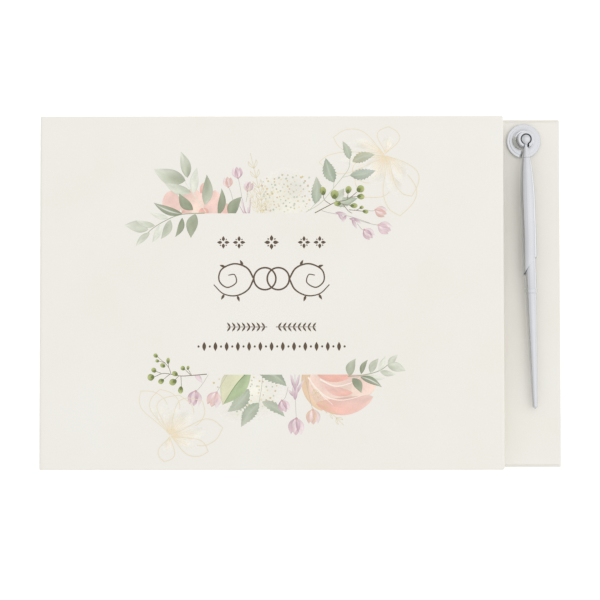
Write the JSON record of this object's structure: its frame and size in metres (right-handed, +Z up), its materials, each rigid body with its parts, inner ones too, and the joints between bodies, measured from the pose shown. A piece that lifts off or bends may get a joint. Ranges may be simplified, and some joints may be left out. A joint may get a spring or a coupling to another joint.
{
  "type": "wedding guest book",
  "caption": "Landscape hardcover guest book with a floral cover; its back cover extends into a ledge that carries a swivelling desk-pen holder and pen.",
  "frame": {"origin": "centre of the underside of the closed book, on the surface it lies on", "axes": "+X from the spine to the pen ledge, +Y from tail to head, +Z up through the front cover"},
  "size_m": [0.267, 0.18, 0.016],
  "materials": {
    "leatherette": "fine-grained ivory leatherette, matt",
    "greyboard": "raw greyboard",
    "endpaper": "smooth ivory endpaper",
    "page_paper": "uncoated ivory paper",
    "foam_tape": "white foam tape",
    "chrome": "polished",
    "steel": "plain",
    "nylon": "natural",
    "refill_plastic": "smooth",
    "brass": "turned"
  },
  "bodies": {
    "back_cover": {"back_board": "greyboard", "back_cover_wrap": "leatherette", "back_pastedown": "endpaper", "holder_adhesive_pad": "foam_tape", "holder_base": "chrome", "holder_rivet": "steel"},
    "spine": {"spine_board": "greyboard", "spine_wrap": "leatherette", "spine_lining": "endpaper"},
    "front_cover": {"front_board": "greyboard", "front_cover_wrap": "leatherette", "front_pastedown": "endpaper"},
    "front_leaf": {"front_flyleaf": "page_paper"},
    "section_1": {"signature_1": "page_paper"},
    "section_2": {"signature_2": "page_paper"},
    "section_3": {"signature_3": "page_paper"},
    "section_4": {"signature_4": "page_paper"},
    "section_5": {"signature_5": "page_paper"},
    "section_6": {"signature_6": "page_paper"},
    "section_7": {"signature_7": "page_paper"},
    "section_8": {"signature_8": "page_paper"},
    "back_leaf": {"back_flyleaf": "page_paper"},
    "turret": {"swivel_turret": "chrome", "ball_seat": "nylon"},
    "sheath": {"ball_stud": "chrome", "pen_sheath": "chrome"},
    "pen": {"pen_nose_cone": "chrome", "pen_barrel": "chrome", "pen_ring": "chrome", "pen_tail": "chrome", "ink_refill": "refill_plastic", "refill_tip": "brass"}
  },
  "joints": [
    {"name": "spine_fold", "type": "hinge", "parent": "back_cover", "child": "spine", "pos_m": [-0.1321, 0, 0.0014], "axis": [0, -1, 0], "range_deg": [0, 90]},
    {"name": "front_cover_fold", "type": "hinge", "parent": "spine", "child": "front_cover", "pos_m": [-0.1321, 0, 0.0146], "axis": [0, -1, 0], "range_deg": [0, 90]},
    {"name": "front_leaf_turn", "type": "hinge", "parent": "back_cover", "child": "front_leaf", "pos_m": [-0.1301, 0, 0.008], "axis": [0, -1, 0], "range_deg": [0, 179.2]},
    {"name": "section_1_turn", "type": "hinge", "parent": "back_cover", "child": "section_1", "pos_m": [-0.1301, 0, 0.008], "axis": [0, -1, 0], "range_deg": [0, 178.6]},
    {"name": "section_2_turn", "type": "hinge", "parent": "back_cover", "child": "section_2", "pos_m": [-0.1301, 0, 0.008], "axis": [0, -1, 0], "range_deg": [0, 178]},
    {"name": "section_3_turn", "type": "hinge", "parent": "back_cover", "child": "section_3", "pos_m": [-0.1301, 0, 0.008], "axis": [0, -1, 0], "range_deg": [0, 177.4]},
    {"name": "section_4_turn", "type": "hinge", "parent": "back_cover", "child": "section_4", "pos_m": [-0.1301, 0, 0.008], "axis": [0, -1, 0], "range_deg": [0, 176.8]},
    {"name": "section_5_turn", "type": "hinge", "parent": "back_cover", "child": "section_5", "pos_m": [-0.1301, 0, 0.008], "axis": [0, -1, 0], "range_deg": [0, 1.8]},
    {"name": "section_6_turn", "type": "hinge", "parent": "back_cover", "child": "section_6", "pos_m": [-0.1301, 0, 0.008], "axis": [0, -1, 0], "range_deg": [0, 1.35]},
    {"name": "section_7_turn", "type": "hinge", "parent": "back_cover", "child": "section_7", "pos_m": [-0.1301, 0, 0.008], "axis": [0, -1, 0], "range_deg": [0, 0.9]},
    {"name": "section_8_turn", "type": "hinge", "parent": "back_cover", "child": "section_8", "pos_m": [-0.1301, 0, 0.008], "axis": [0, -1, 0], "range_deg": [0, 0.5]},
    {"name": "back_leaf_turn", "type": "hinge", "parent": "back_cover", "child": "back_leaf", "pos_m": [-0.1301, 0, 0.008], "axis": [0, -1, 0], "range_deg": [0, 0.2]},
    {"name": "holder_swivel", "type": "hinge", "parent": "back_cover", "child": "turret", "pos_m": [0.11465, 0.0785, 0.0028], "axis": [0, 0, 1], "range_deg": [-5, 178]},
    {"name": "pen_tilt", "type": "hinge", "parent": "turret", "child": "sheath", "pos_m": [0.11465, 0.0785, 0.0105], "axis": [-0.9994, -0.0349, 0], "range_deg": [0, 90]},
    {"name": "pen_pull_out", "type": "slide", "parent": "sheath", "child": "pen", "axis": [0.0349, -0.999, -0.0279], "range_m": [0, 0.06]}
  ],
  "couplings": [
    {"joint": "front_cover_fold", "follows": "spine_fold", "ratio": 1},
    {"joint": "front_leaf_turn", "follows": "spine_fold", "ratio": 1.9911},
    {"joint": "section_1_turn", "follows": "spine_fold", "ratio": 1.9844},
    {"joint": "section_2_turn", "follows": "spine_fold", "ratio": 1.9778},
    {"joint": "section_3_turn", "follows": "spine_fold", "ratio": 1.9711},
    {"joint": "section_4_turn", "follows": "spine_fold", "ratio": 1.9644},
    {"joint": "section_5_turn", "follows": "spine_fold", "ratio": 0.02},
    {"joint": "section_6_turn", "follows": "spine_fold", "ratio": 0.015},
    {"joint": "section_7_turn", "follows": "spine_fold", "ratio": 0.01},
    {"joint": "section_8_turn", "follows": "spine_fold", "ratio": 0.0055556},
    {"joint": "back_leaf_turn", "follows": "spine_fold", "ratio": 0.0022222}
  ]
}
